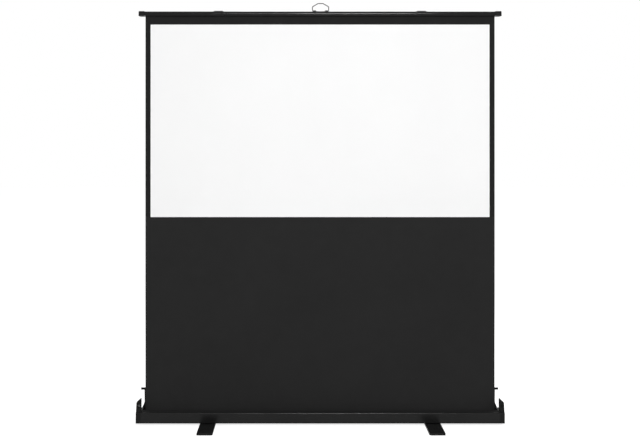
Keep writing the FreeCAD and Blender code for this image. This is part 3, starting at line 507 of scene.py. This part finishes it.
def cloth_wave(x, z):
    """How far the cloth stands off its flat plane: long soft waves, and sides that curl forwards.

    Both are under 2 mm and die out at the roller and at the bar.
    """
    rise = (z - ROLLER_Z) / (BAR_UNDER - ROLLER_Z)
    free = math.sin(math.pi * min(max(rise, 0.0), 1.0)) ** 0.8
    side = abs(x) / CLOTH_HALF
    soft = 0.00035 * math.sin(3.1 * x + 2.0 * z) + 0.0003 * math.sin(1.7 * z - 5.3 * x + 1.0)
    curl = -0.0016 * side ** 14
    return free * (soft + curl)


def sheet_mesh(name, across, path, paint_of):
    """A closed thin sheet: a path in Y and Z swept across X, with a face on each side."""
    mesh = bmesh.new()
    sides = []
    for sign in (-1, 1):
        rows = []
        for i, (y, z) in enumerate(path):
            ahead, behind = path[min(i + 1, len(path) - 1)], path[max(i - 1, 0)]
            run = Vector((ahead[0] - behind[0], ahead[1] - behind[1])).normalized()
            out = Vector((run.y, -run.x)) * (CLOTH_THICKNESS / 2 * sign)
            rows.append([mesh.verts.new((x, y + out.x + cloth_wave(x, z), z + out.y))
                         for x in across])
        sides.append(rows)
    front, back = sides

    def quad(a, b, c, d, paint):
        mesh.faces.new((a, b, c, d)).material_index = paint

    last, end = len(path) - 1, len(across) - 1
    for i in range(last):
        for j in range(end):
            x, z = (across[j] + across[j + 1]) / 2, (path[i][1] + path[i + 1][1]) / 2
            quad(front[i][j], front[i][j + 1], front[i + 1][j + 1], front[i + 1][j],
                 paint_of(x, z))
            quad(back[i][j], back[i + 1][j], back[i + 1][j + 1], back[i][j + 1], BACK)
        quad(front[i][0], front[i + 1][0], back[i + 1][0], back[i][0], BLACK)
        quad(front[i][end], back[i][end], back[i + 1][end], front[i + 1][end], BLACK)
    for j in range(end):
        quad(front[0][j], back[0][j], back[0][j + 1], front[0][j + 1], BLACK)
        quad(front[last][j], front[last][j + 1], back[last][j + 1], back[last][j], BLACK)
    return add_piece(name, mesh, sharp_angle=60, paints=CLOTH_PAINTS)


def picture_or_border(x, z):
    """White picture, its printed border, or the drop under them."""
    if z < IMAGE_LOW:
        return BLACK
    return WHITE if abs(x) < IMAGE_HALF and z < IMAGE_HIGH else BORDER


def hem_path():
    """Up into the bar, round the rod and back down to a welded flap behind the cloth."""
    mouth = BAR_UNDER + HEM_MOUTH
    spread = math.asin(HEM_RADIUS / (HEM_Z - mouth))
    turn = [(CLOTH_Y + HEM_RADIUS * math.cos(angle), HEM_Z + HEM_RADIUS * math.sin(angle))
            for angle in steps(math.pi + spread, -spread, 28)]
    behind = CLOTH_Y + CLOTH_THICKNESS * HEM_BEHIND
    return [(CLOTH_Y, BAR_UNDER), (CLOTH_Y, mouth), *turn, (behind, mouth),
            (behind, BAR_UNDER - HEM_FLAP)]


cloth = sheet_mesh("cloth_sheet", cloth_across(), [(CLOTH_Y, z) for z in cloth_up()],
                   picture_or_border)
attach(cloth, "bar")
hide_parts("screen_cloth")
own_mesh(cloth)

hem = sheet_mesh("cloth_hem", cloth_across(), hem_path(), lambda x, z: BLACK)
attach(hem, "bar")


# The stage

FLOOR_HALF = 40.0
FLOOR_TONE = 0.82
FLOOR_GLOW = 0.80
WORLD_LIGHT = 0.25
# Each lamp's place, aim, width and height in metres, and its power in watts.
LAMPS = {
    "strip": ((0.15, -4.6, 3.45), (0, 0, 1.1), (2.0, 0.3), 62),
    "strip_heart": ((0.40, -4.6, 3.45), (0, 0, 1.1), (1.1, 0.3), 80),
    "fill_left": ((-2.8, -3.4, 0.5), (0, 0, 0.9), (1.8, 1.6), 30),
    "fill_right": ((2.8, -3.4, 0.5), (0, 0, 0.9), (1.8, 1.6), 29),
    "back": ((0.6, 3.4, 3.0), (0, 0, 1.1), (2.4, 1.6), 60),
}
# The camera, solved from the photograph: metres, millimetres, and pixels of its 640.
CAMERA_PLACE = (-0.12, -6.311, 1.446)
CAMERA_LENS = 66.86
CAMERA_SHIFT = (22.6, -68.5)
PHOTO_WIDTH = 640


def seen(tree):
    """1 for rays that come from the camera, or by way of gloss or glass."""
    path = tree.nodes.new("ShaderNodeLightPath")
    found = path.outputs["Is Camera Ray"]
    for kind in ("Is Glossy Ray", "Is Transmission Ray"):
        either = tree.nodes.new("ShaderNodeMath")
        either.operation = "MAXIMUM"
        tree.links.new(found, either.inputs[0])
        tree.links.new(path.outputs[kind], either.inputs[1])
        found = either.outputs["Value"]
    return found


def build_floor():
    """A wide pale floor that glows up to white where it is seen, and still takes the shadow."""
    data = bpy.data.meshes.new("floor")
    corners = [(-1, -1), (1, -1), (1, 1), (-1, 1)]
    data.from_pydata([(x * FLOOR_HALF, y * FLOOR_HALF, 0) for x, y in corners], [], [(0, 1, 2, 3)])
    floor = add_object("floor", data)
    paint = bpy.data.materials.new("floor")
    paint.use_nodes = True
    tree = paint.node_tree
    shader = tree.nodes["Principled BSDF"]
    shader.inputs["Base Color"].default_value = rgb(FLOOR_TONE)
    shader.inputs["Roughness"].default_value = 0.9
    shader.inputs["Specular IOR Level"].default_value = 0.0
    shader.inputs["Emission Color"].default_value = rgb(1.0)
    glow = tree.nodes.new("ShaderNodeMath")
    glow.operation = "MULTIPLY"
    glow.inputs[1].default_value = FLOOR_GLOW
    tree.links.new(seen(tree), glow.inputs[0])
    tree.links.new(glow.outputs["Value"], shader.inputs["Emission Strength"])
    data.materials.append(paint)


def build_world():
    """A dim even light on the object, and plain white where the world itself is seen."""
    world = bpy.data.worlds.new("studio")
    bpy.context.scene.world = world
    world.use_nodes = True
    tree = world.node_tree
    light = tree.nodes["Background"]
    white = tree.nodes.new("ShaderNodeBackground")
    for background, strength in ((light, WORLD_LIGHT), (white, 1.0)):
        background.inputs["Color"].default_value = rgb(1.0)
        background.inputs["Strength"].default_value = strength
    mix = tree.nodes.new("ShaderNodeMixShader")
    tree.links.new(seen(tree), mix.inputs[0])
    tree.links.new(light.outputs["Background"], mix.inputs[1])
    tree.links.new(white.outputs["Background"], mix.inputs[2])
    tree.links.new(mix.outputs["Shader"], tree.nodes["World Output"].inputs["Surface"])


def add_lamp(name, place, aim, size, power):
    """A rectangular lamp that looks at its aim and that the camera doesn't see."""
    light = bpy.data.lights.new(name, "AREA")
    light.shape = "RECTANGLE"
    light.size, light.size_y = size
    light.energy = power
    holder = add_object(name, light)
    holder.location = place
    holder.rotation_euler = (Vector(aim) - Vector(place)).to_track_quat("-Z", "Y").to_euler()
    holder.visible_camera = False


def build_camera():
    """The photograph's camera: level, with its framing made by the shift."""
    data = bpy.data.cameras.new("camera")
    data.sensor_width = 36.0
    data.lens = CAMERA_LENS
    data.shift_x, data.shift_y = (shift / PHOTO_WIDTH for shift in CAMERA_SHIFT)
    camera = add_object("camera", data)
    camera.location = CAMERA_PLACE
    camera.rotation_euler = (math.radians(90), 0, 0)
    bpy.context.scene.camera = camera


build_floor()
build_world()
for name, values in LAMPS.items():
    add_lamp(name, *values)
build_camera()
bpy.context.scene.view_settings.view_transform = "Standard"
